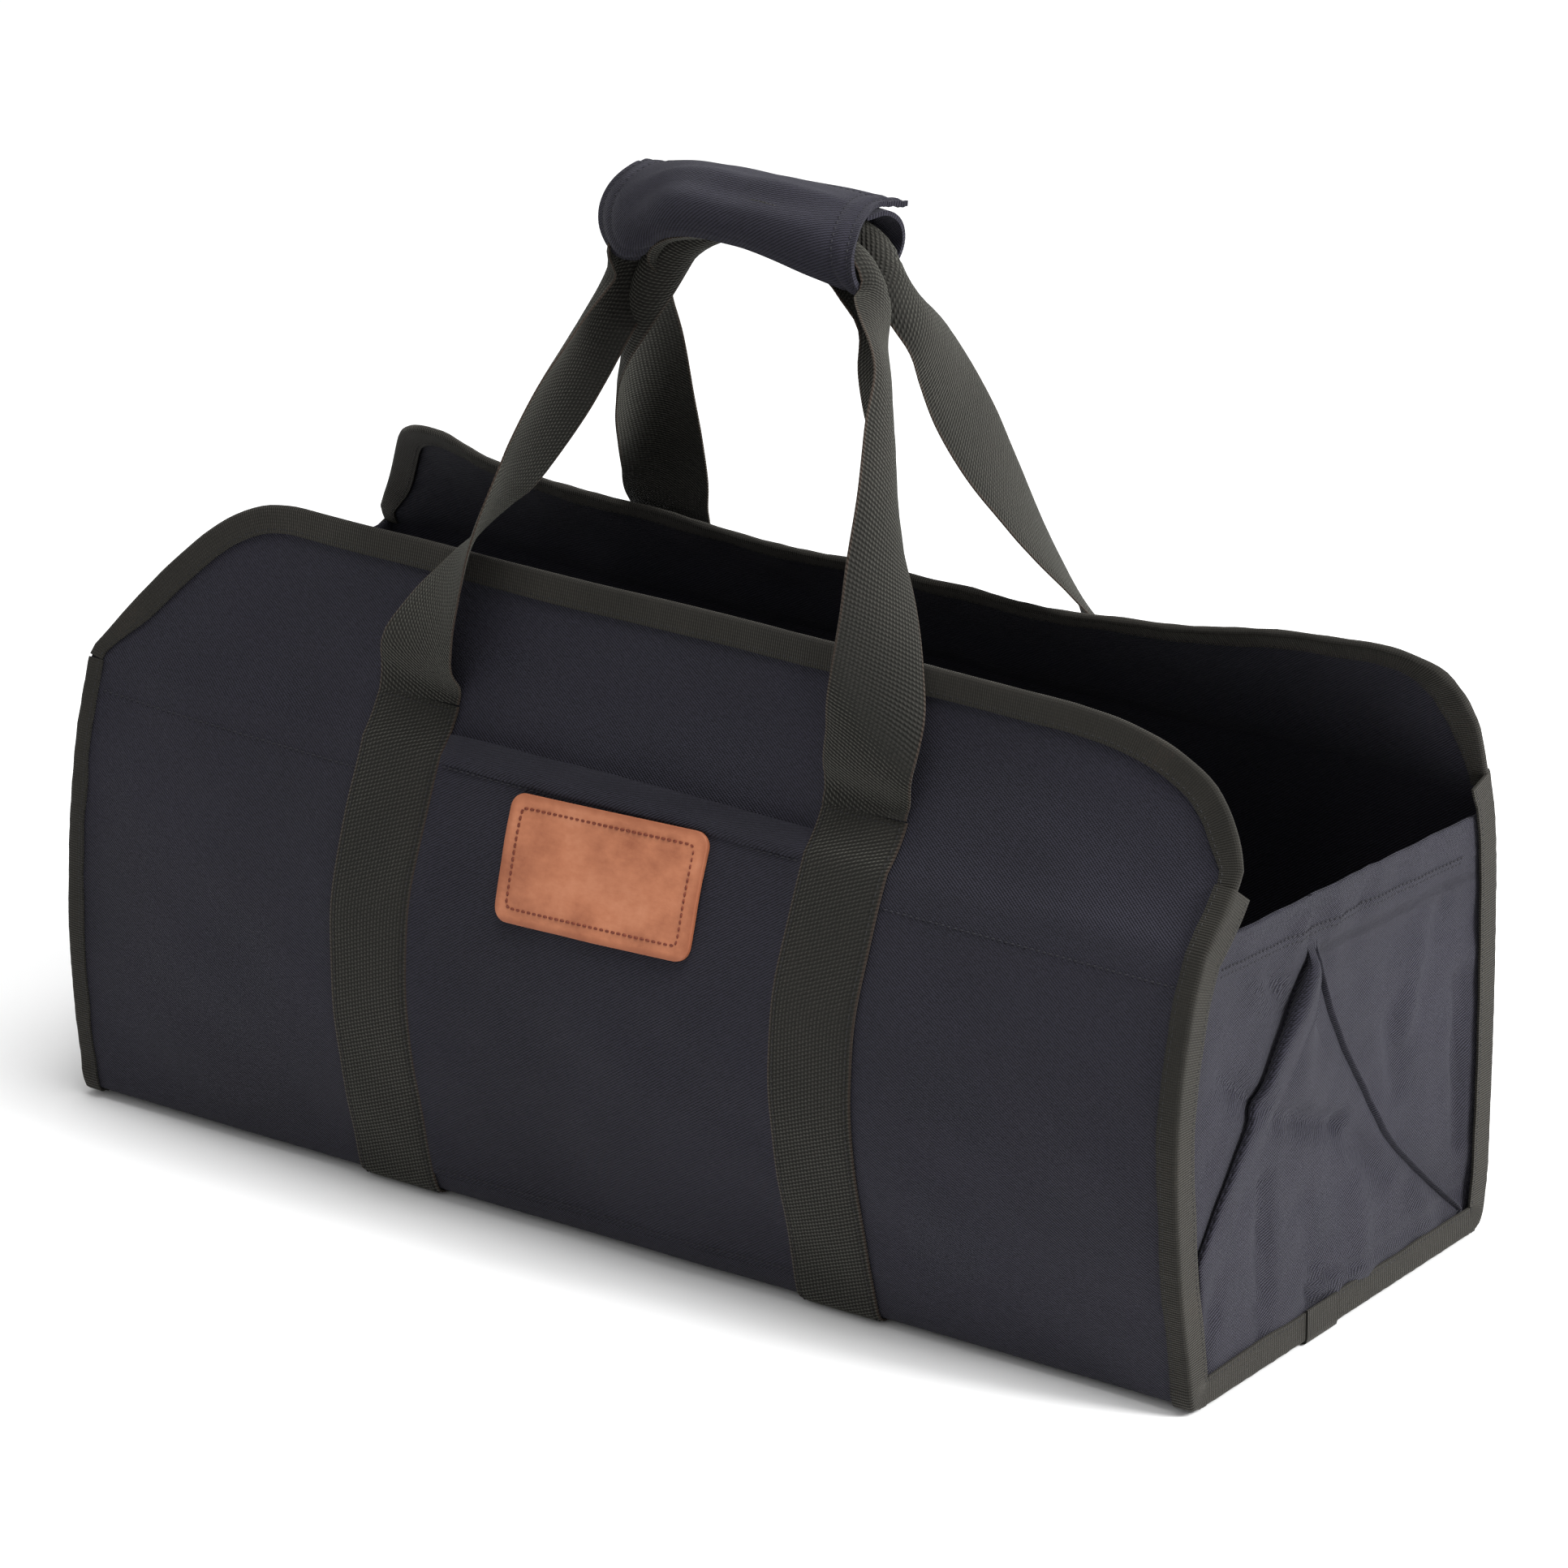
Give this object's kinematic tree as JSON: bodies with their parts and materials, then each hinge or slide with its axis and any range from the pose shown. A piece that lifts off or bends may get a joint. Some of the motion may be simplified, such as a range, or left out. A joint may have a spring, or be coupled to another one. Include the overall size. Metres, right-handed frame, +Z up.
{
  "type": "log carrier",
  "caption": "Open-topped canvas log carrier with folded ends, sewn webbing straps, loop handles held by a canvas wrap, and a front pocket with a leather patch.",
  "frame": {"origin": "centre of the bounding box in X and Y, on the floor under the straps", "axes": "+X along the bag's length towards its right end, +Y from the front, where the pocket is, to the back, +Z up"},
  "size_m": [0.6278, 0.2959, 0.4827],
  "materials": {
    "canvas": "matt dark navy canvas",
    "tape": "matt olive-brown ribbed tape",
    "webbing": "matt dark olive webbing",
    "leather": "smooth tan leather"
  },
  "bodies": {
    "root": {"main_panel": "canvas", "end_gusset_right": "canvas", "end_gusset_left": "canvas", "seam_binding_right": "tape", "seam_binding_left": "tape", "flap_binding_front": "tape", "flap_binding_back": "tape", "strap_left": "webbing", "strap_right": "webbing", "handle_front": "webbing", "handle_back": "webbing", "handle_wrap": "canvas", "front_pocket": "canvas", "leather_patch": "leather"}
  },
  "joints": []
}
